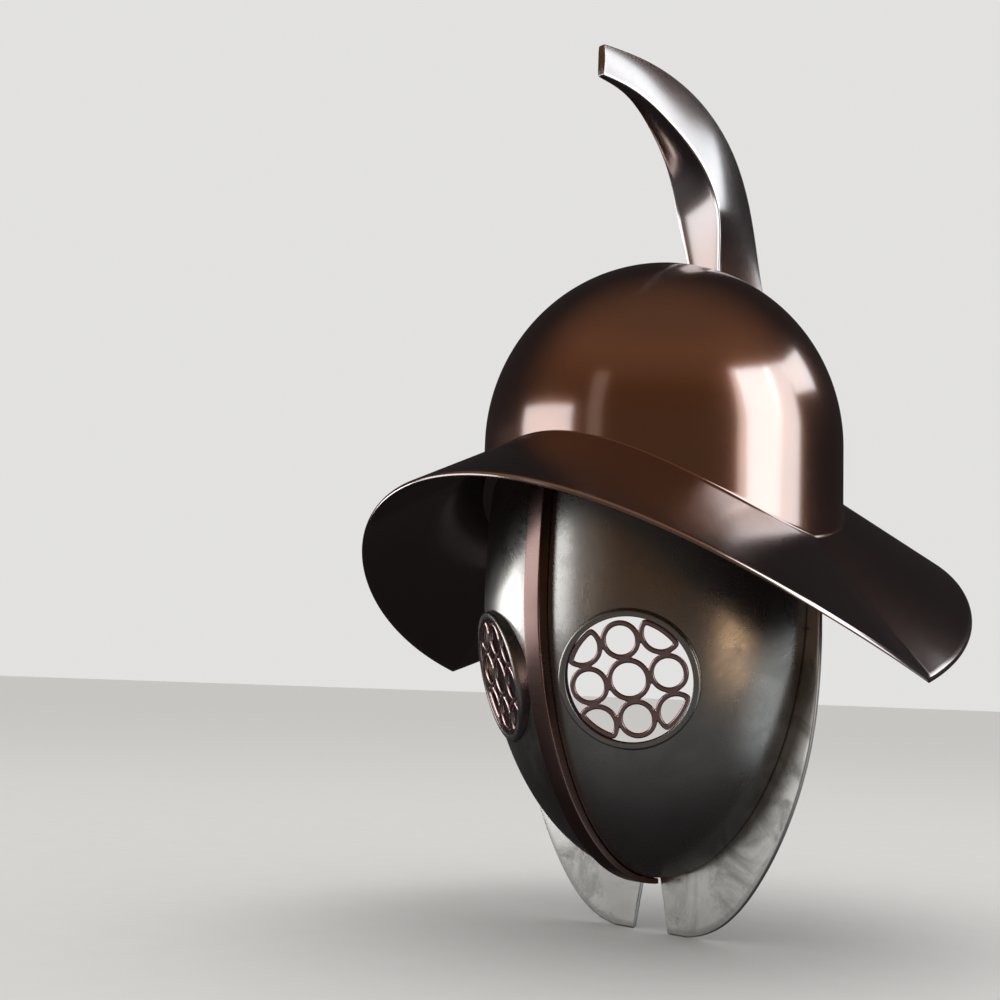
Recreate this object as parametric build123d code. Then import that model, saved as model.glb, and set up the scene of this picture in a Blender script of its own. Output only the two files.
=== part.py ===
from build123d import *
import math
import os

# Helmet with a broad drooping brim, a horn crest and a closed visor. Millimetres, +Z up.
# The helmet faces -Y and the wearer's left is +X. The origin is the middle of the bowl,
# at the height where its dome ends and its upright wall begins.

# bowl: a dome on a short upright wall
bowl_radius = 113.0          # outside, in plan
dome_rise = 118.0            # outside height of the dome above the origin
bowl_wall = 2.0

# where the bowl's wall ends and the brim begins
seat_z_front = -6.5
seat_z_side = -62.0
seat_corner = 0.25           # 0 is a smooth curve over the ear, 1 a sharp corner

# brim: nearly round in plan, high at the front and back, drooping to a corner at each side
brim_width_side = 72.0       # from the bowl, in plan
brim_width_front = 76.0
brim_width_rear = 85.0
rim_z_front = -40.5
rim_z_side = -142.0
rim_corner = 0.6
brim_wall = 3.0              # measured upright
brim_ledge = 10.0            # how far the brim runs in under the bowl

# visor: half an egg, in two halves
visor_inset = 3.5            # its widest place lies this far inside the bowl's outside
visor_mid_z = -95.0          # height of its widest place
visor_drop = 171.5           # from there down to the chin
visor_rise = 300.0           # from there up to the crown of the ellipse that it follows
visor_wall = 2.0

# rib over the seam between the visor's halves
rib_width = 12.0
rib_proud = 8.0              # at the brow
rib_proud_chin = 3.5

# flat flange around the back edge of the visor, split at the chin
flange_wall = 3.0
flange_width_ear = 8.5       # outside the visor, beside the ear
flange_width_chin = 32.2     # and below the chin
flange_straight = 25.0       # its outer edge is upright down to this far below visor_mid_z
flange_foot = 27.0           # half the width of its flat foot
gap_top = 6.7                # half the chin gap, at the visor
gap_bottom = 13.5            # and at the foot
# the outer edge's curve: shares of the ear's half width and of the drop to the foot
flange_bend = [(0.945, 0.352), (0.83, 0.588), (0.635, 0.817), (0.42, 0.957)]

# eye openings
eye_rib_gap = 10.7           # between the eye ring and the rib, in plan
eye_z = -148.4
eye_sink = 0.5               # the middle of the ring's face lies this far inside the visor
eye_turn = 31.0              # degrees that an eye opening faces outward
eye_droop = 14.0             # and downward
eye_radius = 40.0
eye_rim = 4.0                # width of the ring's face
eye_depth = 20.0             # how far the ring reaches in, before it is cut flush inside
eye_ring_fillet = 1.2
grille_wall = 2.5
grille_recess = 1.0          # below the ring's face
grille_turn = 11.4           # degrees that the rings' square pattern is turned
grille_drawn_radius = 40.0   # the holes are drawn for an eye opening of this radius
middle_hole = 9.5
side_hole = 8.3
corner_hole = 9.2
wire = 2.8
ring_lap = 0.7               # how far the grille's rings run into each other

# clearances
seam = 0.2                   # between pieces that are soldered or riveted together

# crest: its rear and front edges on the left side, from the tip down to inside the bowl,
# drawn on a bowl of this radius and rise, and stretched with the bowl if it changes
crest_drawn_radius = 113.0
crest_drawn_rise = 118.0
crest_rear_edge = [
    (2.5, -69.0, 247.0), (3.5, -22.0, 250.0), (6.0, 26.0, 239.5), (8.0, 62.0, 213.0),
    (9.0, 82.0, 176.0), (11.5, 91.0, 132.0), (17.0, 98.5, 88.0), (24.5, 105.2, 48.0),
    (33.0, 107.0, 8.0),
]
crest_front_edge = [
    (2.5, -69.0, 226.5), (4.5, -40.0, 225.0), (9.0, -8.0, 212.0), (14.5, 20.0, 189.5),
    (17.0, 34.0, 162.0), (13.5, 40.0, 134.0), (11.0, 45.5, 104.0), (12.0, 52.0, 66.0),
    (15.0, 58.0, 26.0),
]
crest_stations = 12

# sizes that follow from these
brim_reach_side = bowl_radius + brim_width_side
hole_radius = bowl_radius - brim_ledge
visor_radius = bowl_radius - visor_inset
chin_z = visor_mid_z - visor_drop

ring_steps = 12              # spans in a half circle from ear to ear
ring_angles = [math.pi * (step / ring_steps - 0.5) for step in range(ring_steps + 1)]

LEFT, RIGHT = 1, -1
far = 400.0                  # longer than the whole helmet
UPRIGHT = Plane((0, 0, 0), x_dir=(0, 1, 0), z_dir=(1, 0, 0))    # sketches in Y and Z


def sag(share, z_front, z_side, corner):
    """Height of an edge that is highest at share 1 and drops to a corner at share 0."""
    return z_side + (z_front - z_side) * (corner * share + (1 - corner) * share * share)


def seat_z(y):
    """Height of the surface on which the bowl's lower edge stands: it varies with y alone."""
    return sag(abs(y) / bowl_radius, seat_z_front, seat_z_side, seat_corner)


def seat_ring(radius, facing, shift):
    """A half circle on the seat's surface, from ear to ear by the front or the back."""
    points = []
    for angle in ring_angles:
        y = facing * radius * max(math.cos(angle), 0.0)
        points.append((radius * math.sin(angle), y, seat_z(y) + shift))
    return Spline(*points).edge()


def rim_ring(width_y, facing, shift):
    """The brim's outer edge, from ear to ear by the front or the back."""
    points = []
    for angle in ring_angles:
        share = max(math.cos(angle), 0.0)
        z = sag(share, rim_z_front, rim_z_side, rim_corner)
        y = facing * (bowl_radius + width_y) * share
        points.append((brim_reach_side * math.sin(angle), y, z + shift))
    return Spline(*points).edge()


def below_seat(shift):
    """Everything under the seat's surface moved by `shift`."""
    reach = 1.2 * bowl_radius
    slope = (seat_z_front - seat_z_side) * seat_corner / bowl_radius
    low, high = seat_z_side + shift, seat_z(reach) + shift
    bend = low + slope * reach / 2
    with BuildSketch(UPRIGHT.offset(-far)) as profile:
        with BuildLine():
            Bezier((0, low), (reach / 2, bend), (reach, high))
            Polyline((reach, high), (reach, -far), (-reach, -far), (-reach, high))
            Bezier((-reach, high), (-reach / 2, bend), (0, low))
        make_face()
    return extrude(profile.sketch, 2 * far)


def quarter_oval(z, radius, height):
    """A quarter of an ellipse from the widest place, at z, to the axis, `height` above it."""
    pull = 0.5523            # how far a quarter ellipse's control points lie along its tangents
    return Bezier((radius, z), (radius, z + pull * height), (pull * radius, z + height),
                  (0, z + height))


def dome_profile(grow):
    """Half of the bowl's upright section, filled, `grow` larger all round."""
    radius, rise = bowl_radius + grow, dome_rise + grow
    foot = seat_z_side - bowl_wall
    with BuildSketch(UPRIGHT) as profile:
        with BuildLine():
            Polyline((0, rise), (0, foot), (radius, foot), (radius, 0))
            quarter_oval(0, radius, rise)
        make_face()
    return profile.sketch


def egg_profile(grow, grow_drop=None):
    """Half of the visor's upright section, filled, `grow` larger, `grow_drop` deeper."""
    radius, rise = visor_radius + grow, visor_rise + grow
    drop = visor_drop + (grow if grow_drop is None else grow_drop)
    with BuildSketch(UPRIGHT) as profile:
        with BuildLine():
            quarter_oval(visor_mid_z, radius, rise)
            quarter_oval(visor_mid_z, radius, -drop)
            Line((0, visor_mid_z - drop), (0, visor_mid_z + rise))
        make_face()
    return profile.sketch


def block(x0, x1, y0, y1, z0, z1):
    """A box between two corners."""
    place = Location(((x0 + x1) / 2, (y0 + y1) / 2, (z0 + z1) / 2))
    return place * Box(x1 - x0, y1 - y0, z1 - z0)


def eye_plane(side):
    """The plane of an eye ring's face, looking out of the helmet."""
    turn, droop = math.radians(eye_turn), math.radians(eye_droop)
    out = (side * math.sin(turn) * math.cos(droop), -math.cos(turn) * math.cos(droop))
    level = (visor_mid_z - eye_z) / visor_drop
    reach = visor_radius * math.sqrt(1 - level * level) - eye_sink
    centre_x = rib_width / 2 + eye_rib_gap + eye_radius * math.cos(turn)
    centre = (side * centre_x, -math.sqrt(reach * reach - centre_x * centre_x), eye_z)
    across = (math.cos(turn), side * math.sin(turn), 0)
    return Plane(centre, x_dir=across, z_dir=(out[0], out[1], -math.sin(droop)))


def eye_cylinder(side, radius, top, depth):
    """A cylinder square to an eye opening, from `top` above its face to `depth` below."""
    start = eye_plane(side).offset(-depth)
    return extrude(start * Circle(radius), top + depth)


def bowl():
    """The raised dome and its upright wall, open below, standing on the brim."""
    wall = revolve(dome_profile(0) - dome_profile(-bowl_wall), Axis.Z)
    return wall - below_seat(seam)


def brim():
    """The broad brim, with a ledge under the bowl that carries bowl and visor."""
    faces = []
    for facing, width in ((-1, brim_width_front), (1, brim_width_rear)):
        upper, lower = [
            (seat_ring(hole_radius, facing, shift), seat_ring(bowl_radius, facing, shift),
             rim_ring(width, facing, shift))
            for shift in (0, -brim_wall)
        ]
        loop = [upper[0], upper[1], upper[2], lower[2], lower[1], lower[0], upper[0]]
        for first, second in zip(loop, loop[1:]):
            faces.append(Face.make_surface_from_curves(first, second))
    return Solid(Shell(faces))


def crest():
    """A horn of four faces that rises from the back of the bowl and curls forward."""
    stretch_y, stretch_z = bowl_radius / crest_drawn_radius, dome_rise / crest_drawn_rise
    rear_edge, front_edge = [
        Spline(*[(x, y * stretch_y, z * stretch_z) for x, y, z in points])
        for points in (crest_rear_edge, crest_front_edge)
    ]
    sections = []
    for station in range(crest_stations):
        rear, front = [edge @ (station / (crest_stations - 1)) for edge in (rear_edge, front_edge)]
        depth = math.hypot(rear.Y - front.Y, rear.Z - front.Z)
        upright = (0, (rear.Z - front.Z) / depth, (front.Y - rear.Y) / depth)
        crown = rear.X ** 2 / (2 * bowl_radius)
        with BuildSketch(Plane((0, front.Y, front.Z), x_dir=(1, 0, 0), z_dir=upright)) as section:
            with BuildLine():
                Polyline((-rear.X, -depth), (-front.X, 0), (front.X, 0), (rear.X, -depth))
                ThreePointArc((rear.X, -depth), (0, -depth - crown), (-rear.X, -depth))
            make_face()
        sections.append(section.sketch)
    return loft(sections) - revolve(dome_profile(seam), Axis.Z)


def visor(side):
    """One half of the egg-shaped face shell, from the brim to the chin."""
    shell = revolve(egg_profile(0) - egg_profile(-visor_wall), Axis.Z)
    back = -flange_wall / 2 - seam
    if side == LEFT:
        shell &= block(seam, far, -far, back, -far, seat_z_front)
    else:
        shell &= block(-far, -seam, -far, back, -far, seat_z_front)
    shell &= below_seat(-brim_wall - seam)
    return shell - eye_cylinder(side, eye_radius + seam, eye_depth, 2 * eye_depth)


def centre_rib():
    """A square bar bent over the seam of the visor, from the brim to the chin gap."""
    bar = revolve(egg_profile(rib_proud, rib_proud_chin) - egg_profile(seam), Axis.Z)
    half = rib_width / 2
    bar &= block(-half, half, -far, -flange_wall / 2 - seam, -far, seat_z_front)
    return bar & below_seat(-brim_wall - seam)


def flange(side):
    """Half of the flat collar plate, from the brim beside the ear to the chin gap."""
    half = visor_radius + flange_width_ear
    foot_z = chin_z - flange_width_chin
    start_z = visor_mid_z - flange_straight
    fall = (seat_z_side - rim_z_side) / brim_width_side
    top = seat_z_side - brim_wall - seam * math.hypot(1, fall)
    curve = [(x * half, start_z + z * (foot_z - start_z)) for x, z in flange_bend]
    with BuildSketch(Plane.XZ.offset(-flange_wall / 2)) as sketch:
        with BuildLine():
            Polyline((gap_bottom, foot_z), (gap_top, chin_z), (gap_top, top),
                     (bowl_radius, top), (half, top - fall * (half - bowl_radius)),
                     (half, start_z))
            Spline((half, start_z), *curve, (flange_foot, foot_z), tangents=((0, -1), (-1, 0)))
            Line((flange_foot, foot_z), (gap_bottom, foot_z))
        make_face()
    plate = extrude(sketch.sketch, flange_wall)
    plate -= revolve(egg_profile(-visor_wall), Axis.Z)
    return plate if side == LEFT else mirror(plate, about=Plane.YZ)


def eye_ring(side):
    """A raised ring around an eye opening, flush with the visor's inside."""
    ring = eye_cylinder(side, eye_radius, 0, eye_depth)
    ring -= eye_cylinder(side, eye_radius - eye_rim, eye_rim, eye_depth + eye_rim)
    outward = Axis(eye_plane(side).origin, eye_plane(side).z_dir)
    front = ring.edges().filter_by(GeomType.CIRCLE).sort_by(outward)[-2:]
    edge = max(front, key=lambda circle: circle.radius)
    return fillet(edge, eye_ring_fillet) - revolve(egg_profile(-visor_wall), Axis.Z)


def eye_grille(side):
    """Nine rings in a square pattern, joined where they touch, with the corners clipped."""
    outer = eye_radius - eye_rim - 1.5 * seam
    stretch = eye_radius / grille_drawn_radius
    pitch = (middle_hole + side_hole) * stretch + 2 * wire - ring_lap
    shape = Sketch()
    holes = Sketch()
    for column in (-1, 0, 1):
        for row in (-1, 0, 1):
            hole = (middle_hole, side_hole, corner_hole)[abs(column) + abs(row)] * stretch
            place = Location((column * pitch, row * pitch))
            shape += place * Circle(hole + wire)
            holes += place * Circle(hole)
    shape = shape & Circle(outer)
    holes = holes & Circle(outer - wire)
    lattice = Rot(0, 0, side * grille_turn) * (shape - holes)
    start = eye_plane(side).offset(-grille_recess - grille_wall)
    return extrude(start * lattice, grille_wall)


parts = {"bowl": bowl(), "brim": brim(), "crest": crest(), "centre_rib": centre_rib()}
for name, side in (("left", LEFT), ("right", RIGHT)):
    parts["visor_" + name] = visor(side)
    parts["flange_" + name] = flange(side)
    parts["eye_ring_" + name] = eye_ring(side)
    parts["eye_grille_" + name] = eye_grille(side)

os.makedirs("parts", exist_ok=True)
for node, shape in parts.items():
    export_step(shape, "parts/" + node + ".step")
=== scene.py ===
# %% [markdown]
# # A visored gladiator helmet
#
# This lesson dresses the helmet: a domed copper bowl on a broad drooping brim, a horn crest that
# curls forward, and an egg-shaped steel visor with ringed eye grilles and a flat flange. The
# fixed model already has every piece at its true size, so each new surface below takes its place
# from it. It faces -Y, and the wearer's left is +X.

# %% Open the fixed model
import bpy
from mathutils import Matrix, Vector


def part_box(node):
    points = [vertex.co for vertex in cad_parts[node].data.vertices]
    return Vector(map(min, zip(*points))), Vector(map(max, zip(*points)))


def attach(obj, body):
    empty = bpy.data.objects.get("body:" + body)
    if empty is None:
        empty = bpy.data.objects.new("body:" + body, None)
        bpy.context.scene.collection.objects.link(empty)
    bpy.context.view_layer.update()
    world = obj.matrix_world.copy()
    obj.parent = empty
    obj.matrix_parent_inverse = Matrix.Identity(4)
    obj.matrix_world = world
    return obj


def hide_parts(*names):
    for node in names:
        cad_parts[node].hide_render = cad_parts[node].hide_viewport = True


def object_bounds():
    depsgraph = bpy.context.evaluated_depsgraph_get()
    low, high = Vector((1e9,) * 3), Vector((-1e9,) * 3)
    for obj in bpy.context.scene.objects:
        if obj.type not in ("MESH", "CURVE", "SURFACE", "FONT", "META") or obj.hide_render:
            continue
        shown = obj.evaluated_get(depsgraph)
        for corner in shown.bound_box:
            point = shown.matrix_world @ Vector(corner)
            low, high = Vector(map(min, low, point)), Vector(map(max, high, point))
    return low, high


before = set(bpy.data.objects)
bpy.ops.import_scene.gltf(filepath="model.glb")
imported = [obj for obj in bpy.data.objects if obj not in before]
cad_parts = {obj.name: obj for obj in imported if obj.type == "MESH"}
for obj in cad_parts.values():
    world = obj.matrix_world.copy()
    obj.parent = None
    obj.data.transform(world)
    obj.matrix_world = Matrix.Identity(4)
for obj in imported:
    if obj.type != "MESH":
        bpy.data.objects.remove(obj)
model_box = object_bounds()
print("fixed model box", [list(corner) for corner in model_box])

# %% [markdown]
# ## Tools and units
#
# Blender can shape metal by hand, with its modelling tools, or by number. Here it is done by
# number: numpy works out whole surfaces at once, bmesh tidies them, and mathutils turns and
# moves. Blender counts in metres, while a maker thinks in millimetres, so one short name, MM,
# stands for a thousandth.

# %% Tools and units
import math

import bmesh
import bpy
import numpy as np
from mathutils import Matrix, Vector

MM = 0.001
print("all lengths are in metres;", 1 / MM, "of them to one")

# %% [markdown]
# ## The camera
#
# A helmet hung at eye height is usually looked at from a little below its brow and from one side,
# which shows the dome, the hollow of the brim and both eyes at once. A 50 mm lens at arm's length
# gives the bowl its slight swelling. The camera is turned away from the helmet, so the helmet
# sits right of the middle with air in front of its face.

# %% Camera
camera_place = Vector((565.0, -716.7, -156.5)) * MM
camera_bearing = math.radians(44.67)       # from straight ahead, turned to the wearer's left
camera_lift = math.radians(7.53)           # looking up
camera_roll = math.radians(2.06)
camera_data = bpy.data.cameras.new("camera")
camera_data.sensor_width = 36.0
camera_data.lens = 51.84
camera = bpy.data.objects.new("camera", camera_data)
aim = Matrix.Rotation(camera_bearing, 4, "Z") @ Matrix.Rotation(math.pi / 2 + camera_lift, 4, "X")
camera.matrix_world = Matrix.Translation(camera_place) @ aim @ Matrix.Rotation(camera_roll, 4, "Z")
bpy.context.scene.collection.objects.link(camera)
bpy.context.scene.camera = camera
print("camera stands", round(camera_place.length, 3), "m from the middle of the bowl")

# %% [markdown]
# ## From a grid of points to a piece
#
# Sheet metal is smooth, and polished metal shows every flat spot, so each piece is a formula
# sampled finely rather than a few faces rounded afterwards. A grid of points becomes a mesh with
# one face between four neighbours. Where a row shrinks to one point, as at the crown of the
# dome, the points are merged, and only then are the faces turned outward.

# %% Grid to mesh
def grid_faces(rows, columns, wrap_rows):
    """Four corner numbers for each cell of a grid whose points are numbered row by row.

    The last column always joins the first; the last row joins the first where it wraps."""
    row = np.arange(rows if wrap_rows else rows - 1)[:, None]
    column = np.arange(columns)[None, :]
    below, beside = (row + 1) % rows, (column + 1) % columns
    corners = [row * columns + column, row * columns + beside,
               below * columns + beside, below * columns + column]
    return np.stack(np.broadcast_arrays(*corners), axis=-1).reshape(-1, 4)


def close_mesh(mesh, nearer=1e-6):
    """Merges points that lie together and turns all faces outward."""
    shape = bmesh.new()
    shape.from_mesh(mesh)
    bmesh.ops.remove_doubles(shape, verts=shape.verts, dist=nearer)
    bmesh.ops.dissolve_degenerate(shape, edges=shape.edges, dist=nearer)
    bmesh.ops.recalc_face_normals(shape, faces=shape.faces)
    shape.to_mesh(mesh)
    shape.free()


def mesh_from_grids(name, grids, rubs_and_painted_reflections=None, wrap_rows=True):
    """One closed mesh from grids of (rows, columns, 3) points.

    A grid either wraps from its last row to its first, or ends in a point at both ends.
    The third argument gives each point's wear and painted edge reflection, from 0 to 1, in grids of
    (rows, columns)."""
    points, faces, start = [], [], 0
    for grid in grids:
        rows, columns = grid.shape[:2]
        points.append(grid.reshape(-1, 3))
        faces.append(grid_faces(rows, columns, wrap_rows) + start)
        start += rows * columns
    mesh = bpy.data.meshes.new(name)
    mesh.from_pydata(np.concatenate(points), [], np.concatenate(faces))
    # This point attribute carries rubbed wear and painted edge reflections: bright rims and edges, and
    # the visor's dark joint line.
    rub_and_edge_sheen = mesh.attributes.new("edge_rub_and_painted_reflection", "FLOAT", "POINT")
    if rubs_and_painted_reflections is not None:
        rub_and_edge_sheen.data.foreach_set("value", np.concatenate([r.ravel() for r in rubs_and_painted_reflections]).astype(np.float32))
    close_mesh(mesh)
    return mesh

# %% [markdown]
# ## From a mesh to a part of the helmet
#
# On the bench a piece is nothing until it is fitted. Here fitting means that the new surface is
# told which pieces of the fixed model it stands for and what it rides on.
# Faces are shaded smooth, because a polished curve has no flat spots, except at an edge that is
# really sharp. This is the same for every piece, so it is one function.

# %% Put a piece in the scene
crease = math.radians(35.0)                # a sharper edge than this stays crisp


def add_piece(name, mesh, nodes):
    """Links a finished mesh as a piece that stands for the named nodes of the fixed model."""
    mesh.shade_smooth()
    mesh.set_sharp_from_angle(angle=crease)
    piece = bpy.data.objects.new(name, mesh)
    bpy.context.scene.collection.objects.link(piece)
    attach(piece, "root")
    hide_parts(*nodes)
    low, high = np.array(piece.bound_box).min(0), np.array(piece.bound_box).max(0)
    size = [round(float(s) * 1000, 1) for s in high - low]
    print(name, len(mesh.polygons), "faces", size, "mm")
    return piece

# %% [markdown]
# ## Sizes that the pieces share
#
# The bowl, the brim and the visor meet along curves that all follow from a few sizes: the bowl's
# radius and rise, the heights of its lower edge at the brow and over the ear, and the egg that
# the visor is cut from. They are read from the fixed model where it has them.

# %% Bowl and brim sizes
bowl_low, bowl_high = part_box("bowl")
brim_low, brim_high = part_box("brim")
bowl_radius = bowl_high.x
dome_rise = bowl_high.z
bowl_wall = 2.0 * MM
seat_front = -6.5 * MM                     # where wall and brim meet, at brow and nape
seat_side = bowl_low.z                     # and over the ears
seat_corner = 0.25                         # 0 would be smooth over the ear, 1 a sharp corner
rim_front = -40.5 * MM
rim_side = -142.0 * MM
rim_corner = 0.6
rim_reach_side = brim_high.x
rim_reach_front = -brim_low.y
rim_reach_rear = brim_high.y
brim_wall = 3.0 * MM                       # measured upright
hole_radius = bowl_radius - 10 * MM        # the brim's hole leaves a ledge inside the bowl


def sag(share, front, side, corner):
    """Height of an edge: highest at share 1, and at share 0 it drops to a corner.

    The fall from front to side mixes a straight line and a parabola."""
    return side + (front - side) * (corner * share + (1 - corner) * share ** 2)


def seat_height(y):
    """Height of the curve that the bowl stands on, which depends on y alone."""
    return sag(np.abs(y) / bowl_radius, seat_front, seat_side, seat_corner)


print("bowl", round(bowl_radius / MM, 1), "mm radius; brim reaches",
      [round(reach / MM, 1) for reach in (rim_reach_side, rim_reach_front, rim_reach_rear)])

# %% [markdown]
# ## The bowl
#
# The real bowl is raised from one disc with a hammer, planished and polished, and soldered into
# the brim. It could be a sphere cut and stretched, but the lower edge is a curve that sinks over
# the ears, so here the profile of each bearing is worked out by itself: a quarter of an ellipse,
# an upright wall that ends on the seat curve, and a small hollow fillet of solder that runs out
# on the brim's slope. The inside follows one wall thickness in.

# %% Bowl
bearings = np.linspace(0, 2 * np.pi, 320, endpoint=False)[None, :]     # 0 is the brow
foot_fillet_brow = 1.2 * MM                # radius of the solder at the brow and the nape
foot_fillet_ear = 5.0 * MM
bowl_lift = 0.1 * MM                       # the wall's inner edge stands this far off the brim


def rim_ring(bearing):
    """The brim's outer edge: an oval in plan, half for the front and half for the back."""
    share = np.abs(np.cos(bearing))
    reach = np.where(np.cos(bearing) > 0, rim_reach_front, rim_reach_rear)
    height = sag(share, rim_front, rim_side, rim_corner)
    return np.stack([rim_reach_side * np.sin(bearing), -reach * np.cos(bearing), height], axis=-1)


def seat_ring(bearing, radius):
    """A circle in plan, laid on the seat curve."""
    x, y = radius * np.sin(bearing), -radius * np.cos(bearing)
    return np.stack([x, y, seat_height(y)], axis=-1)


def bowl_grid():
    """Radius and height for each row of the profile, at every bearing, turned into points.

    With s the brim's slope and f the fillet's radius, the fillet's middle stands
    f (cos s - tan s (1 - sin s)) above the seat curve, so the fillet ends flat on the brim."""
    seat = seat_ring(bearings, bowl_radius)
    rim = rim_ring(bearings)
    run = np.linalg.norm(rim[..., :2] - seat[..., :2], axis=-1)
    slope = np.arctan2(seat[..., 2] - rim[..., 2], run)
    sideways = np.abs(np.sin(bearings)) ** 3
    fillet = foot_fillet_brow + (foot_fillet_ear - foot_fillet_brow) * sideways
    fillet_middle = seat[..., 2] + fillet * (np.cos(slope) - np.tan(slope) * (1 - np.sin(slope)))
    rise = np.linspace(np.pi / 2, 0, 81)[:, None]
    dome = (bowl_radius * np.cos(rise), dome_rise * np.sin(rise))
    down = np.linspace(0, 1, 25)[1:, None]
    wall = (bowl_radius, fillet_middle * down)
    turned = np.linspace(0, 1, 11)[1:, None] * (np.pi / 2 - slope)
    foot = (bowl_radius + fillet * (1 - np.cos(turned)), fillet_middle - fillet * np.sin(turned))
    inside = bowl_radius - bowl_wall
    up = np.linspace(1, 0, 25)[:-1, None]
    inner_wall = (inside, (seat[..., 2] + bowl_lift) * up)
    inner_dome = (inside * np.cos(rise[::-1]), (dome_rise - bowl_wall) * np.sin(rise[::-1]))
    profile = [np.broadcast_arrays(*part, bearings)[:2]
               for part in (dome, wall, foot, inner_wall, inner_dome)]
    radius, height = [np.concatenate(rows) for rows in zip(*profile)]
    return np.stack([radius * np.sin(bearings), -radius * np.cos(bearings), height], axis=-1)


bowl_mesh = mesh_from_grids("bowl_shell", [bowl_grid()], wrap_rows=False)
bowl = add_piece("bowl_shell", bowl_mesh, ["bowl"])

# %% [markdown]
# ## The brim
#
# The brim is one sheet, dished so that it stands high at the brow and the nape and droops to a
# blunt point over each ear. It is ruled: straight lines run from the bowl's foot to the rim.
# Its outer edge is rubbed round, and that narrow bright line is what the eye follows, so the
# edge is a true half round here and not a bevel in the material. A bright band is also painted into
# the colour along the rim, partly rubbed wear and partly a painted highlight.

# %% Brim
rim_round = 1.1 * MM                       # how far the half round stands out
rim_rub_and_highlight = 2.5 * MM                         # how far in from the rim it is rubbed bright and painted as a highlight


def brim_grid():
    """Straight rules from the hole to the bowl's foot to the rim, above and below, with a
    half round between them at the rim. Returns the points and how much each is rubbed and painted bright
    as a highlight."""
    hole, seat = seat_ring(bearings, hole_radius), seat_ring(bearings, bowl_radius)
    rim = rim_ring(bearings)
    drop = np.array([0, 0, brim_wall])
    run = (rim - seat) / np.linalg.norm(rim - seat, axis=-1, keepdims=True)
    edge = rim - rim_round * run
    ledge = np.linspace(0, 1, 5)[:-1, None, None]
    rule = np.linspace(0, 1, 49)[:, None, None]
    top = np.concatenate([hole + (seat - hole) * ledge, seat + (edge - seat) * rule])
    bend = np.linspace(0, np.pi, 11)[1:-1, None, None]
    half_drop = drop / 2
    lip = edge - half_drop + rim_round * run * np.sin(bend) + half_drop * np.cos(bend)
    grid = np.concatenate([top, lip, top[::-1] - drop])
    from_rim = np.linalg.norm(grid - rim, axis=-1)
    # Near the rim the colour is painted bright: rubbed wear and a painted rim highlight.
    return grid, np.exp(-from_rim / rim_rub_and_highlight)


brim_points, brim_rub_and_highlight = brim_grid()
brim = add_piece("brim_sheet", mesh_from_grids("brim_sheet", [brim_points], [brim_rub_and_highlight]),
                 ["brim"])

# %% [markdown]
# ## Smooth outlines
#
# The horn and the flange have outlines that no circle gives. A maker would bend a spring through
# a few marks on the bench. A natural cubic spline is that spring: it passes through each mark
# and is straight at its free ends, so a handful of marks is enough.

# %% A bent spring through a few marks
def smooth_through(marks, shares):
    """A natural cubic spline through marks, read at shares of its length from 0 to 1.

    The marks lie at their summed distances. The bend at each mark solves three terms in a row:
    gap before, twice both gaps, gap after. It is zero at both ends."""
    marks = np.asarray(marks, float)
    gaps = np.linalg.norm(np.diff(marks, axis=0), axis=1)
    at = np.concatenate([[0], np.cumsum(gaps)])
    count = len(marks)
    terms, right = np.eye(count), np.zeros_like(marks)
    inner = np.arange(1, count - 1)
    terms[inner, inner - 1], terms[inner, inner] = gaps[:-1], 2 * (gaps[:-1] + gaps[1:])
    terms[inner, inner + 1] = gaps[1:]
    slope = np.diff(marks, axis=0) / gaps[:, None]
    right[1:-1] = 6 * np.diff(slope, axis=0)
    bend = np.linalg.solve(terms, right)
    place = np.clip(np.asarray(shares, float), 0, 1) * at[-1]
    span = np.clip(np.searchsorted(at, place, side="right") - 1, 0, count - 2)
    gap = gaps[span][:, None]
    after, before = (place - at[span])[:, None], (at[span + 1] - place)[:, None]
    straight = (marks[span] * before + marks[span + 1] * after) / gap
    pull = (bend[span] * (before ** 3 / gap - gap * before)
            + bend[span + 1] * (after ** 3 / gap - gap * after))
    return straight + pull / 6


def rounded_outline(corners, radius, side_points, corner_points, bows=(0, 0, 0, 0)):
    """Outlines through (stations, 4, 2) corners, with the corners rounded.

    Each corner is a quadratic curve between points `radius` to both sides of it, and each side
    may bow out by its share of `bows`, as a parabola."""
    outline = []
    for number in range(4):
        here, after, before = [corners[:, (number + step) % 4, None] for step in (0, 1, -1)]
        onward = (after - here) / np.linalg.norm(after - here, axis=-1, keepdims=True)
        backward = (before - here) / np.linalg.norm(before - here, axis=-1, keepdims=True)
        share = np.linspace(0, 1, corner_points)[None, :, None]
        start, end = here + radius * backward, here + radius * onward
        outline.append((1 - share) ** 2 * start + 2 * share * (1 - share) * here + share ** 2 * end)
        share = np.linspace(0, 1, side_points + 2)[None, 1:-1, None]
        across = np.stack([onward[..., 1], -onward[..., 0]], axis=-1)
        bow = np.reshape(bows[number], (-1, 1, 1)) * 4 * share * (1 - share) * across
        outline.append(end + (after - radius * onward - end) * share + bow)
    return np.concatenate(outline, axis=1)


print("a square of four marks comes out with",
      rounded_outline(np.array([[[0, 0], [1, 0], [1, 1], [0, 1]]], float), 0.1, 3, 4).shape[1], "points")

# %% [markdown]
# ## The horn crest
#
# The crest is a hollow horn of four faces, raised from sheet and soldered on the back of the
# bowl. Its front face is slightly hollow and shaped like a leaf, its back face is narrow and
# then spreads like a fish's tail into the bowl. It could be lofted by hand from sections, but
# sections drift, so here two springs carry the rear and the front edges, and each section is
# the outline between them.

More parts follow.
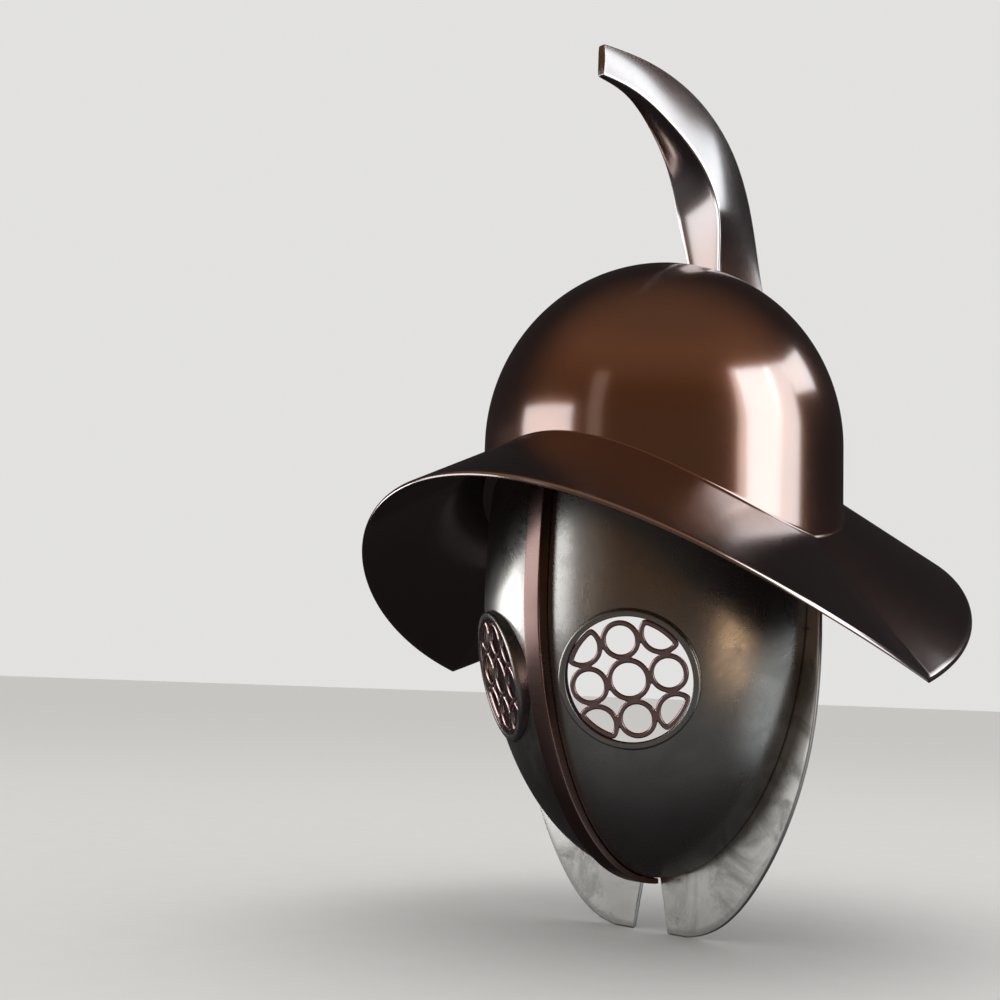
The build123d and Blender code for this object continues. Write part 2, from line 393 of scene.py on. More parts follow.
# %% Horn sections
horn_rear_marks = np.array([
    (2.5, -69, 247), (3.5, -22, 250), (6, 26, 239.5), (8, 62, 213), (9, 82, 176),
    (11.5, 91, 132), (17, 98.5, 88), (24.5, 105.2, 48), (33, 107, 8)]) * MM
horn_front_marks = np.array([
    (2.5, -69, 226.5), (4.5, -40, 225), (9, -8, 212), (14.5, 20, 189.5), (17, 34, 162),
    (13.5, 40, 134), (11, 45.5, 104), (12, 52, 66), (15, 58, 26)]) * MM
horn_edge = 0.9 * MM                       # rounding of its long edges
horn_hollow = 0.055                        # depth of the front face, by its width
horn_side_bow = 0.02                       # swelling of the side faces, by their depth
horn_side_points, horn_corner_points = 13, 6


def horn_lines(shares):
    """Sections of the horn at shares of its length, as (stations, outline, 3) points.

    A section is drawn flat, with its width along x and its depth from the front edge to the
    rear edge. Then the depth is carried to the line between the two springs' points."""
    rear, front = smooth_through(horn_rear_marks, shares), smooth_through(horn_front_marks, shares)
    depth = np.hypot(rear[:, 1] - front[:, 1], rear[:, 2] - front[:, 2])
    nothing = np.zeros_like(depth)
    corners = np.stack([
        np.stack([-front[:, 0], nothing], -1), np.stack([front[:, 0], nothing], -1),
        np.stack([rear[:, 0], depth], -1), np.stack([-rear[:, 0], depth], -1)], axis=1)
    side_bow = horn_side_bow * depth
    bows = (-2 * horn_hollow * front[:, 0], side_bow, rear[:, 0] ** 2 / (2 * bowl_radius), side_bow)
    outline = rounded_outline(corners, horn_edge, horn_side_points, horn_corner_points, bows)
    share = outline[..., 1] / depth[:, None]
    y = front[:, None, 1] + share * (rear[:, 1] - front[:, 1])[:, None]
    z = front[:, None, 2] + share * (rear[:, 2] - front[:, 2])[:, None]
    return np.stack([outline[..., 0], y, z], axis=-1)


print("horn outline has", horn_lines(np.array([0.0, 1.0])).shape[1], "points")

# %% [markdown]
# ## Where the horn meets the dome
#
# The smith files the horn's open foot until it sits on the dome, and then floods the joint with
# solder. Cutting one mesh with another would leave a ragged line and no fillet. Instead every
# line of the horn is stopped where it enters the dome, and close to the dome it swings out in
# the quarter round of a fillet, so one unbroken sheet ends just inside the bowl's wall.

# %% Where the horn meets the dome
horn_fillet = 7 * MM                       # radius of the solder at the horn's foot
horn_sink = 0.25 * MM                      # the foot's edge lies this deep in the bowl's wall
horn_crowding = 1.4                        # above 1, rows crowd together towards the foot


def height_off_bowl(points):
    """Rough distance outside the bowl: an ellipsoid's equation above z = 0, a cylinder below."""
    level = np.maximum(points[..., 2], 0) / dome_rise
    size = np.sqrt((points[..., 0] ** 2 + points[..., 1] ** 2) / bowl_radius ** 2 + level ** 2)
    return (size - 1) * bowl_radius


def bowl_outward(points):
    """Unit vectors square to the bowl's surface: half the gradient of its equation."""
    gradient = np.stack([points[..., 0] / bowl_radius ** 2, points[..., 1] / bowl_radius ** 2,
                         np.maximum(points[..., 2], 0) / dome_rise ** 2], axis=-1)
    return gradient / np.linalg.norm(gradient, axis=-1, keepdims=True)


def settle_on_bowl(points, heights):
    """Slides points along the bowl's outward direction until they stand `heights` off it."""
    for _ in range(3):
        points = points + (heights - height_off_bowl(points))[..., None] * bowl_outward(points)
    return points


def grid_outward(grid):
    """Unit vectors square to a grid whose columns wrap, from the cross product of its steps."""
    down = np.gradient(grid, axis=0)
    round_it = np.roll(grid, -1, axis=1) - np.roll(grid, 1, axis=1)
    square = np.cross(round_it, down)
    square /= np.maximum(np.linalg.norm(square, axis=-1, keepdims=True), 1e-12)
    outward = np.sign(np.sum(square * (grid - grid.mean(axis=1, keepdims=True))))
    return square * outward


def horn_grid():
    """Every line of the horn runs from the tip to where it meets the dome, with a flared foot.

    At height h off the bowl a fillet of radius r stands out by r (1 - the root of 1 - n squared),
    where n is 1 - h / r, and less where the horn's side leans the same way as the bowl."""
    fine = np.linspace(0, 1, 1201)
    lines = horn_lines(fine)
    inside = height_off_bowl(lines) < 0
    meets = np.where(inside.any(axis=0), np.argmax(inside, axis=0), len(fine) - 1) / (len(fine) - 1)
    steps = 1 - (1 - np.linspace(0, 1, 150)) ** horn_crowding
    place = steps[:, None] * meets[None, :] * (len(fine) - 1)
    low = np.minimum(place.astype(int), len(fine) - 2)
    column = np.arange(lines.shape[1])[None, :]
    part = (place - low)[..., None]
    grid = lines[low, column] * (1 - part) + lines[low + 1, column] * part
    heights = np.maximum(height_off_bowl(grid), 0)
    outward, from_bowl = grid_outward(grid), bowl_outward(grid)
    facing = np.clip(1 - np.sum(outward * from_bowl, axis=-1), 0, 1)
    near = np.clip(1 - heights / horn_fillet, 0, 1)
    flare = horn_fillet * (1 - np.sqrt(1 - near ** 2)) * facing
    flared = settle_on_bowl(grid + flare[..., None] * outward, heights - horn_sink * near ** 4)
    return np.where(near[..., None] > 0, flared, grid)


horn = horn_grid()
print("horn grid", horn.shape)

# %% [markdown]
# ## The horn's two ends
#
# The tip is blunt and softened with a file, and the foot is hidden in the bowl. A grid of lines
# is open at both ends, and an open shell has no inside. Each end is closed by rows that shrink
# its last loop to a point: over a small quarter round at the tip, and along the curve of the
# bowl's wall at the foot. The horn's four long edges are marked as rubbed, as hands find them,
# and the mark also paints them bright as edge highlights.

# %% Close the horn's two ends
blunt_rows = 5                             # rows over a blunt end's quarter round
horn_tip_round = 0.7 * MM
horn_foot_depth = 0.6 * MM                 # how deep in the bowl's wall the foot is closed


def shrink(loop, amount):
    """A loop drawn in towards its middle by a length, and never past it."""
    middle = loop.mean(axis=0)
    reach = loop - middle
    length = np.linalg.norm(reach, axis=-1, keepdims=True)
    return middle + reach * np.maximum(1 - amount / np.maximum(length, 1e-9), 0)


def blunt_end(loop, behind, radius):
    """Rows that close a loop with a flat end whose edge is a quarter round, outermost last."""
    back = np.mean(behind - loop, axis=0)
    back /= np.linalg.norm(back)
    rows = np.stack([shrink(loop, radius * (1 - math.sin(b))) + back * radius * (1 - math.cos(b))
                     for b in np.linspace(0, np.pi / 2, blunt_rows)])
    middle = np.broadcast_to(loop.mean(axis=0), loop.shape)
    return np.concatenate([middle[None], rows])


def horn_foot(loop):
    """Rows that close the foot inside the bowl's wall, following its curve."""
    share = np.linspace(1, 0, 12)[1:, None, None]
    flat = loop.mean(axis=0) + (loop - loop.mean(axis=0)) * share
    return settle_on_bowl(flat, np.full(flat.shape[:2], -horn_foot_depth))


tip = blunt_end(horn[0], horn[6], horn_tip_round)
horn_rows = np.concatenate([tip, horn[2:], horn_foot(horn[-1])])
# The rounded corners are painted bright: rubbed wear and painted edge highlights.
corner_rub_and_highlight = np.zeros((4, horn_corner_points + horn_side_points))
corner_rub_and_highlight[:, :horn_corner_points] = 1
corner_rub_and_highlight = corner_rub_and_highlight.ravel()
horn_rub_and_highlight = np.broadcast_to(corner_rub_and_highlight, horn_rows.shape[:2])
crest_mesh = mesh_from_grids("horn_crest", [horn_rows], [horn_rub_and_highlight], wrap_rows=False)
crest = add_piece("horn_crest", crest_mesh, ["crest"])

# %% [markdown]
# ## The visor's two halves
#
# Each half is raised over a stake into a quarter of an egg and then cut for the eye. An egg is
# two half ellipsoids that meet at its widest place: a deep one down to the chin, and a taller
# one that is cut off under the brim. Its equation says at once whether a point lies inside or
# outside, which way its surface faces, and where a straight line meets it, and everything on the
# visor is fitted with those three answers.

# %% The egg and its eye openings
visor_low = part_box("visor_left")[0]
egg_radius = bowl_radius - 3.5 * MM
egg_middle = -95.0 * MM                    # height of its widest place
egg_drop = egg_middle - visor_low.z        # from there down to the chin
egg_rise = 300.0 * MM                      # from there up to the crown it would have
visor_wall = 2.0 * MM
plate_gap = 1.7 * MM                       # the halves' back edges lie this far before y = 0
seam_gap = 0.2 * MM                        # how far a fitted edge stands back
eye_radius = 40.0 * MM
eye_turn = math.radians(31.0)              # how far an eye looks to its own side
eye_droop = math.radians(14.0)             # and down
eye_rib_gap = 10.7 * MM                    # from the rib's side to the opening's nearest edge
rib_width = 12.0 * MM
eye_height = -148.4 * MM
eye_sink = 0.5 * MM                        # the opening's middle lies this deep in the egg
egg_centre = np.array([0, 0, egg_middle])


def egg_size(points, grow=0.0):
    """Below 1 inside the egg and above 1 outside: the root of an ellipsoid's equation."""
    up = points[..., 2] - egg_middle
    half = np.where(up > 0, egg_rise, egg_drop) + grow
    flat = (points[..., 0] ** 2 + points[..., 1] ** 2) / (egg_radius + grow) ** 2
    return np.sqrt(flat + (up / half) ** 2)


def push_to_egg(points):
    """Points moved straight away from the egg's middle until they lie on it."""
    return egg_centre + (points - egg_centre) / egg_size(points)[..., None]


def egg_outward(points):
    """Unit vectors square to the egg: half the gradient of its equation."""
    up = points[..., 2] - egg_middle
    half = np.where(up > 0, egg_rise, egg_drop)
    gradient = np.stack([points[..., 0] / egg_radius ** 2, points[..., 1] / egg_radius ** 2,
                         up / half ** 2], axis=-1)
    return gradient / np.linalg.norm(gradient, axis=-1, keepdims=True)


def eye_frame(side):
    """Middle of an eye opening's face, and its across, up and outward directions."""
    level = (egg_middle - eye_height) / egg_drop
    reach = egg_radius * math.sqrt(1 - level * level) - eye_sink
    x = rib_width / 2 + eye_rib_gap + eye_radius * math.cos(eye_turn)
    middle = np.array([side * x, -math.sqrt(reach * reach - x * x), eye_height])
    outward = np.array([side * math.sin(eye_turn) * math.cos(eye_droop),
                        -math.cos(eye_turn) * math.cos(eye_droop), -math.sin(eye_droop)])
    across = np.array([math.cos(eye_turn), side * math.sin(eye_turn), 0])
    return middle, across, np.cross(outward, across), outward


def sink_to_egg(points, outward, grow=0.0):
    """Points moved straight back from an eye's face to the egg: the nearer root of a square
    equation in the distance moved."""
    scale = np.array([egg_radius + grow, egg_radius + grow, egg_drop + grow])
    start, way = (points - egg_centre) / scale, -outward / scale
    a, b, c = np.sum(way ** 2), 2 * np.sum(start * way, axis=-1), np.sum(start ** 2, axis=-1) - 1
    moved = (-b - np.sqrt(b ** 2 - 4 * a * c)) / (2 * a)
    return points - moved[..., None] * outward


print("eye openings stand at", [round(float(v) / MM, 1) for v in eye_frame(1)[0]], "mm")

# %% [markdown]
# ## Spokes from the eye to the outline
#
# A grid of meridians would need a hole cut through it for the eye, and its pole would pinch at
# the chin. Instead every spoke of this grid starts on the eye opening's edge and runs out to the
# half's own outline, and the points between are pushed out onto the egg. So the opening is
# exactly round, and the metal round it has no dents. Along the outline the last few points keep
# fixed distances, because the back edge, against the flange, is marked for its own dark line,
# a painted reflection of the copper in the joint.

# %% Where the egg is cut
def egg_meridian(lean, grow=0.0, grow_drop=None):
    """Distance out and height on the egg's section: lean 0 is its waist, a right angle the chin,
    and above the waist lean is negative."""
    rise, drop = egg_rise + grow, egg_drop + (grow if grow_drop is None else grow_drop)
    return (egg_radius + grow) * np.cos(lean), egg_middle - np.where(lean > 0, drop, rise) * np.sin(lean)


def lean_under_brim(bearing, grow=0.0):
    """The lean at which the egg's section at a bearing meets the brim's underside.

    Height follows from lean and lean from height, so a first guess is made better in turns."""
    lean = np.full_like(np.asarray(bearing, float), -0.2)
    for _ in range(30):
        out, _ = egg_meridian(lean, grow)
        under = seat_height(out * np.cos(bearing)) - brim_wall - seam_gap
        lean = -np.arcsin((under - egg_middle) / (egg_rise + grow))
    return lean


def half_outline(side):
    """Down the seam, up the back edge and along the brim, as one ring of points on the egg."""
    share = np.linspace(0, 1, 200, endpoint=False)
    top_at_seam, top_at_ear = lean_under_brim(np.array([0.0, np.pi / 2]))
    seam_out, seam_z = egg_meridian(top_at_seam + (np.pi / 2 - top_at_seam) * share)
    ear_out, ear_z = egg_meridian(np.pi / 2 + (top_at_ear - np.pi / 2) * share)
    bearing = np.pi / 2 * (1 - share[::2])
    brow_out, brow_z = egg_meridian(lean_under_brim(bearing))
    level = np.zeros_like(share)
    ring = np.concatenate([
        np.stack([level + seam_gap, -seam_out, seam_z], -1),
        np.stack([ear_out, level - plate_gap, ear_z], -1),
        np.stack([brow_out * np.sin(bearing), -brow_out * np.cos(bearing), brow_z], -1)])
    ring[:, 0] = np.maximum(ring[:, 0], seam_gap)
    ring[:, 1] = np.minimum(ring[:, 1], -plate_gap)
    return ring * np.array([side, 1, 1])


print("under the brow the egg's section leans",
      round(math.degrees(lean_under_brim(0.0)), 1), "degrees")

# %% Visor halves
outline_border = 3.0 * MM                  # the points keep fixed distances in this border
border_rows = np.array([2.2, 1.6, 1.0, 0.5, 0.0])[:, None] * MM


def visor_grid(side):
    """Spokes from the eye opening to the outline, on the egg outside and a wall further in.

    Along a spoke of length l the points lie evenly up to the border and then at fixed
    distances d from the end, at share 1 - d / l. The edge that meets the flange is marked for a dark
    line painted in as a reflection of the copper."""
    middle, across, up, outward = eye_frame(side)
    ring = half_outline(side)
    turn = np.arctan2((ring - middle) @ up, (ring - middle) @ across)
    radius = eye_radius + seam_gap
    round_eye = middle + radius * (np.cos(turn)[:, None] * across + np.sin(turn)[:, None] * up)
    start = sink_to_egg(round_eye, outward)
    spoke = np.linalg.norm(ring - start, axis=-1)
    share = np.concatenate([np.linspace(0, 1, 52)[:, None] * (1 - outline_border / spoke),
                            1 - border_rows / spoke])
    outside = push_to_egg(start + (ring - start) * share[..., None])
    inside = outside - visor_wall * egg_outward(outside)
    # The border along the flange is marked for a dark line painted as a reflection of the copper.
    at_flange = np.abs(ring[:, 0]) > rib_width
    edge = np.clip(1 - (1 - share) * spoke / border_rows[0], 0, 1) * at_flange
    return np.concatenate([outside, inside[::-1]]), np.concatenate([edge, edge[::-1]])


for side, name in ((1, "left"), (-1, "right")):
    grid, edge = visor_grid(side)
    mesh = mesh_from_grids("visor_half_" + name, [grid], [edge])
    add_piece("visor_half_" + name, mesh, ["visor_" + name])

# %% [markdown]
# ## The centre rib
#
# A copper strip is bent over the seam and soldered down. It stands 8 mm proud at the brow and
# less at the chin. A curve with a bevelled section would be quicker, but it keeps one depth all
# the way. So its section is a rounded oblong carried down the egg's meridian: a point at share v
# of the section's depth follows an egg grown by v of that depth, and the strip thins evenly.

# %% Centre rib
rib_proud = 8.0 * MM                       # how far it stands off the visor at the brow
rib_proud_chin = 3.5 * MM
rib_edge = 1.1 * MM                        # rounding of its long edges
rib_crown = 0.25 * MM                      # swelling of its front face
rib_end_round = 0.4 * MM


def rib_grid():
    """A rounded oblong in (x, depth), with every point led down its own grown egg."""
    half = rib_width / 2
    corners = np.array([[[-half, 0], [half, 0], [half, rib_proud], [-half, rib_proud]]])
    outline = rounded_outline(corners, rib_edge, 7, 6, (0, 0, rib_crown, 0))[0]
    depth = outline[:, 1] / rib_proud
    grow = seam_gap + depth * (rib_proud - seam_gap)
    grow_drop = seam_gap + depth * (rib_proud_chin - seam_gap)
    top = lean_under_brim(np.zeros_like(depth), grow)
    bottom = np.arccos(plate_gap / (egg_radius + grow))
    lean = top + (bottom - top) * np.linspace(0, 1, 200)[:, None]
    out, z = egg_meridian(lean, grow, grow_drop)
    return np.stack([np.broadcast_to(outline[:, 0], out.shape), -out, z], axis=-1)


def close_with_ends(rows, radius):
    """Rows with a blunt, slightly rounded end at both ends."""
    return np.concatenate([blunt_end(rows[0], rows[3], radius), rows[1:-1],
                           blunt_end(rows[-1], rows[-4], radius)[::-1]])


rib_rows = close_with_ends(rib_grid(), rib_end_round)
rib_mesh = mesh_from_grids("centre_strip", [rib_rows], wrap_rows=False)
rib = add_piece("centre_strip", rib_mesh, ["centre_rib"])

# %% [markdown]
# ## The flange
#
# Two flat steel plates close the visor's back edge like a collar and leave a gap under the chin
# for the throat. Each is cut along two lines: inside, the egg's own outline, and outside, a
# straight stretch beside the ear that bends in to a short flat foot. A flat outline given its
# thickness by a modifier would have knife-sharp edges and no record of where they are. So the
# grid runs along the plate, and its section is an oblong between the two lines whose edges are
# eased, as with a file, and marked as rubbed; the mark paints them bright, partly rubbed wear
# and partly painted edge highlights.

# %% Flange halves
flange_low, flange_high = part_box("flange_left")
flange_half = flange_high.x
flange_wall = flange_high.y - flange_low.y
foot_z = flange_low.z
gap_top = 6.7 * MM                         # half the throat's gap, where the egg's outline ends
gap_bottom = flange_low.x + 6.8 * MM       # and at the foot
foot_half = 27.0 * MM                      # half the flat foot's width
straight_to = egg_middle - 25.0 * MM       # where the straight stretch ends and the bend starts
flange_bend = np.array([(0.945, 0.352), (0.83, 0.588), (0.635, 0.817), (0.42, 0.957)])
brim_fall = (seat_side - rim_side) / (rim_reach_side - bowl_radius)      # beside the ear
flange_edge = 0.8 * MM                     # rounding of its long edges
flange_end_round = 0.6 * MM
flange_rub_and_highlight = 1.5 * MM                      # how far in from its edges it is rubbed bright and painted as an edge highlight


def flange_lines(count):
    """The plate's inner and outer line, from the ear to the chin gap, as (count, 2) x and z.

    The inner line follows the egg's section. The outer one is a spring through marks, and the
    bend's marks are shares of the half width and of the fall from the straight to the foot."""
    lean_top = lean_under_brim(np.array([np.pi / 2]))[0]
    inner_radius, inner_drop = egg_radius - visor_wall, egg_drop - visor_wall
    lean_end = math.acos(gap_top / inner_radius)
    lean = np.linspace(lean_top, lean_end, count)
    inner = np.stack([inner_radius * np.cos(lean),
                      egg_middle - np.where(lean > 0, inner_drop, egg_rise) * np.sin(lean)], -1)
    under_brim = seat_side - brim_wall - seam_gap * math.hypot(1, brim_fall)
    ear_z = under_brim - brim_fall * (flange_half - bowl_radius)
    bend = np.stack([flange_bend[:, 0] * flange_half,
                     straight_to + flange_bend[:, 1] * (foot_z - straight_to)], -1)
    marks = np.concatenate([[(flange_half, ear_z), (flange_half, straight_to)], bend,
                            [(foot_half, foot_z), (gap_bottom, foot_z)]])
    outer = smooth_through(marks, np.linspace(0, 1, count))
    outer[:, 0] = np.minimum(outer[:, 0], flange_half)
    outer[:, 1] = np.maximum(outer[:, 1], foot_z)
    return inner, outer


def flange_grid(side):
    """An oblong with eased edges between the two lines, at every station."""
    inner, outer = flange_lines(240)
    width = np.linalg.norm(outer - inner, axis=-1)
    half, nothing = np.full_like(width, flange_wall / 2), np.zeros_like(width)
    corners = np.stack([np.stack([nothing, -half], -1), np.stack([width, -half], -1),
                        np.stack([width, half], -1), np.stack([nothing, half], -1)], axis=1)
    outline = rounded_outline(corners, flange_edge, 9, 5)
    share = outline[..., :1] / width[:, None, None]
    flat = inner[:, None] + (outer - inner)[:, None] * share
    rows = np.stack([side * flat[..., 0], outline[..., 1], flat[..., 1]], axis=-1)
    edge = np.minimum(outline[..., 0], width[:, None] - outline[..., 0])
    # Near the edges the colour is painted bright: rubbed wear and painted edge highlights.
    return rows, np.exp(-edge / flange_rub_and_highlight)


for side, name in ((1, "left"), (-1, "right")):
    rows, rub_and_edge_sheen = flange_grid(side)
    closed = close_with_ends(rows, flange_end_round)
    end_rows = blunt_rows + 1
    rub_and_edge_sheen = np.pad(rub_and_edge_sheen[1:-1], ((end_rows, end_rows), (0, 0)), mode="edge")
    mesh = mesh_from_grids("flange_plate_" + name, [closed], [rub_and_edge_sheen], wrap_rows=False)
    add_piece("flange_plate_" + name, mesh, ["flange_" + name])

# %% [markdown]
# ## The eye rings
#
# A turned steel collar is let into each opening and soldered flush inside. It is a lathe shape,
# one profile carried round a circle, but its back edge isn't flat: it is cut to the visor's
# inside, so the depth at each bearing comes from the same square equation as the opening.

# %% Eye rings
ring_face = 4.0 * MM                       # width of the collar's face
ring_round = 1.6 * MM                      # rounding of its outer front edge
ring_inner_round = 0.6 * MM


def ring_grid(side):
    """The collar's profile: up the inside, over the face, round the edge and back down."""
    middle, across, up, outward = eye_frame(side)
    turn = np.linspace(0, 2 * np.pi, 240, endpoint=False)[None, :, None]
    spoke = np.cos(turn) * across + np.sin(turn) * up
    bend = np.linspace(0, np.pi / 2, 9)
    inner = eye_radius - ring_face
    sine, cosine = np.sin(bend), np.cos(bend)
    lip_in = np.stack([inner + ring_inner_round * (1 - cosine), -ring_inner_round * (1 - sine)], -1)
    lip_out = np.stack([eye_radius - ring_round * (1 - sine), -ring_round * (1 - cosine)], -1)
    profile = np.concatenate([lip_in, lip_out])[:, :, None, None]
    front = middle + profile[:, 0] * spoke + profile[:, 1] * outward
    backs = [sink_to_egg(middle + radius * spoke, outward, -visor_wall)
             for radius in (inner, eye_radius)]
    share = np.linspace(1, 0, 8)[:-1, None, None]
    inside = front[0] + (backs[0] - front[0]) * share
    outside = front[-1] + (backs[1] - front[-1]) * share[::-1]
    return np.concatenate([inside, front, outside])


for side, name in ((1, "left"), (-1, "right")):
    mesh = mesh_from_grids("eye_collar_" + name, [ring_grid(side)])
    add_piece("eye_collar_" + name, mesh, ["eye_ring_" + name])

# %% [markdown]
# ## The eye grilles
#
# Each grille is one casting of nine rings that run into each other in a square pattern, turned
# a little, with the corner rings squeezed against the collar. It starts as nine hoops lying
# flat, each a tube round a circle, or round the circle's part inside the collar. Where two hoops
# meet, the casting has a web of metal between them, so a small oval tube is laid across there.

# %% Grille sizes
hoop_wire = 2.8 * MM
cast_wire = 1.12 * hoop_wire               # the wire with the skin of a casting
grille_depth = 2.5 * MM
grille_recess = 1.0 * MM                   # below the collar's face
grille_turn = math.radians(11.4)
grille_holes = (9.5 * MM, 8.3 * MM, 9.2 * MM)       # middle, side and corner hoops
hoop_lap = 0.7 * MM                        # how far neighbours run into each other
hoop_pitch = grille_holes[0] + grille_holes[1] + 2 * hoop_wire - hoop_lap
grille_radius = eye_radius - ring_face - 0.3 * MM
squeeze = 0.5 * MM                         # how softly a corner hoop bends to the collar
web_half_width, web_half_length = 1.5 * MM, 0.4 * MM
print("hoops stand", round(hoop_pitch / MM, 1), "mm apart, middle to middle")

# %% Hoops and webs
def soft_least(first, second, softness):
    """The smaller of two lengths with a soft change from one to the other: a log of summed
    exponentials."""
    return -softness * np.log(np.exp(-first / softness) + np.exp(-second / softness))


def tube_around(line):
    """A closed tube along a closed flat line, nearly square across and as deep as the grille."""
    ahead = np.roll(line, -1, axis=0) - np.roll(line, 1, axis=0)
    ahead /= np.linalg.norm(ahead, axis=-1, keepdims=True)
    square = np.stack([ahead[:, 1], -ahead[:, 0]], axis=-1)
    round_it = np.linspace(0, 2 * np.pi, 16, endpoint=False)[:, None]
    flatten = 0.85                         # below 1 the wire's section is nearer to a square
    wide = np.sign(np.cos(round_it)) * np.abs(np.cos(round_it)) ** flatten * cast_wire / 2
    deep = np.sign(np.sin(round_it)) * np.abs(np.sin(round_it)) ** flatten * grille_depth / 2
    flat = line[None] + wide[..., None] * square[None]
    return np.concatenate([flat, np.broadcast_to(deep[..., None], flat.shape[:2] + (1,))], axis=-1)


def hoop_grid(column, row):
    """One hoop: a circle in the grille's plane, held inside the grille's outer circle."""
    middle = np.array([column, row]) * hoop_pitch
    turn = np.linspace(0, 2 * np.pi, 160, endpoint=False)
    way = np.stack([np.cos(turn), np.sin(turn)], axis=-1)
    along = way @ middle
    limit = grille_radius - cast_wire / 2
    to_limit = -along + np.sqrt(along ** 2 + limit ** 2 - middle @ middle)
    own = grille_holes[abs(column) + abs(row)] + hoop_wire / 2
    reach = soft_least(np.full_like(turn, own), to_limit, squeeze)
    return tube_around(middle + way * reach[:, None])


def web_grid(column, row, step):
    """The web where a hoop meets its neighbour a step away: a small oval tube with no hole left,
    whose long side lies across the way from hoop to hoop."""
    step = np.array(step)
    here, there = np.array([column, row]), np.array([column, row]) + step
    reaches = [grille_holes[np.abs(place).sum()] + hoop_wire for place in (here, there)]
    meeting = here * hoop_pitch + step * (reaches[0] + hoop_pitch - reaches[1]) / 2
    turn = np.linspace(0, 2 * np.pi, 24, endpoint=False)[:, None]
    across = web_half_width * np.cos(turn) * step[::-1]
    return tube_around(meeting + across + web_half_length * np.sin(turn) * step)


hoops = [hoop_grid(column, row) for column in (-1, 0, 1) for row in (-1, 0, 1)]
hoops += [web_grid(column, row, (1, 0)) for column in (-1, 0) for row in (-1, 0, 1)]
hoops += [web_grid(column, row, (0, 1)) for column in (-1, 0, 1) for row in (-1, 0)]
print("a grille starts as", len(hoops), "closed tubes")

# %% [markdown]
# ## Melting the grille into one casting
#
# The tubes pass through each other and would show sharp seams where they cross. A voxel remesh
# melts them together, as the casting's wax pattern was, and a little smoothing rounds what it
# leaves. This is done lying flat, because a remesh follows the axes, and only the finished
# grille is turned and tilted into its eye.

# %% Melt and set in the eyes
voxel = 0.42 * MM


def melted(mesh, name):
    """The mesh after a voxel remesh and a light smoothing, as a new mesh."""
    block = bpy.data.objects.new(name, mesh)
    bpy.context.scene.collection.objects.link(block)
    remesh = block.modifiers.new("melt", "REMESH")
    remesh.mode, remesh.voxel_size = "VOXEL", voxel
    smooth = block.modifiers.new("ease", "SMOOTH")
    smooth.factor, smooth.iterations = 0.5, 5
    graph = bpy.context.evaluated_depsgraph_get()
    result = bpy.data.meshes.new_from_object(block.evaluated_get(graph))
    bpy.data.objects.remove(block)
    return result


for side, name in ((1, "left"), (-1, "right")):
    mesh = melted(mesh_from_grids("hoops", hoops), "hoops")
    mesh.name = "eye_lattice_" + name
    middle, across, up, outward = eye_frame(side)
    seat = middle - outward * (grille_recess + grille_depth / 2)
    axes = np.stack([across, up, outward, seat], 1).tolist()
    place = Matrix(axes + [[0, 0, 0, 1]])
    mesh.transform(place @ Matrix.Rotation(side * grille_turn, 4, "Z"))
    add_piece("eye_lattice_" + name, mesh, ["eye_grille_" + name])

# %% [markdown]
# ## Writing a material as sums
#
# A metal's finish is mostly arithmetic on noise: this much smudge, less where it was rubbed. In
# the node editor that is a web of Math nodes. Here a small class, Value, holds one output
# socket, and Python's own operators add the Math nodes, so a mask reads like a formula. A second
# class, Sheet, is the tree that nodes are written on. Every other node comes from its one method
# that takes a type, its settings and what goes into it.

# %% Shader sums
class Value:
    """One output socket of a node, on which sums can be written."""

    def __init__(self, sheet, socket):
        self.sheet, self.socket = sheet, socket

    def sum(self, operation, *terms):
        """The output of a new Math node that works on the terms."""
        return self.sheet.node("ShaderNodeMath", {"operation": operation}, dict(enumerate(terms)))

    def __add__(self, other):
        return self.sum("ADD", self, other)

    __radd__ = __add__

    def __sub__(self, other):
        return self.sum("SUBTRACT", self, other)

    def __rsub__(self, other):
        return self.sum("SUBTRACT", other, self)

    def __mul__(self, other):
        return self.sum("MULTIPLY", self, other)

    __rmul__ = __mul__

    def between(self, low, high):
        """0 below low, 1 above high, and smooth between."""
        settings = {"interpolation_type": "SMOOTHSTEP"}
        return self.sheet.node("ShaderNodeMapRange", settings, {0: self, 1: low, 2: high})


class Sheet:
    """The empty node tree of a material or a world, to write on."""

    def __init__(self, owner):
        owner.use_nodes = True
        self.owner, self.tree = owner, owner.node_tree
        self.tree.nodes.clear()

    def node(self, kind, settings=None, inputs=None, out=0):
        """Adds a node: settings first, a ramp's stops among them, then values or links.

        A new ramp has two stops already, so the first two that are given are its ends."""
        made = self.tree.nodes.new(kind)
        for name, setting in (settings or {}).items():
            if name == "stops":
                ramp = made.color_ramp.elements
                for number, (at, colour) in enumerate(setting):
                    stop = ramp[number] if number < 2 else ramp.new(at)
                    stop.position, stop.color = at, (*colour, 1)
            else:
                setattr(made, name, setting)
        for name, value in (inputs or {}).items():
            if isinstance(value, Value):
                self.tree.links.new(value.socket, made.inputs[name])
            else:
                made.inputs[name].default_value = value
        return Value(self, made.outputs[out])

    def blend(self, share, first, second):
        """A colour between two: at share 0 the first, at 1 the second."""
        colours = [colour if isinstance(colour, Value) else (*colour, 1) for colour in (first, second)]
        return self.node("ShaderNodeMix", {"data_type": "RGBA"},
                         {0: share, 6: colours[0], 7: colours[1]}, out=2)

    def end(self, kind, shader):
        """Ends the tree in an output node that shows the shader."""
        output = self.tree.nodes.new(kind)
        self.tree.links.new(shader.socket, output.inputs["Surface"])
        print(self.owner.name, "has", len(self.tree.nodes), "nodes")
        return self.owner

# %% [markdown]
# ## What the finishes have in common
#
# A worn metal is a colour, a roughness and a relief, each made of the same few marks: broad
# drifts, wiped streaks, smudges, hammer facets, hairline scratches. All of them can come from
# one kind of noise, stretched and cut off differently. The noise is read at the point's own
# place on the helmet and not on an unwrapped map, so a mark runs on from piece to piece.

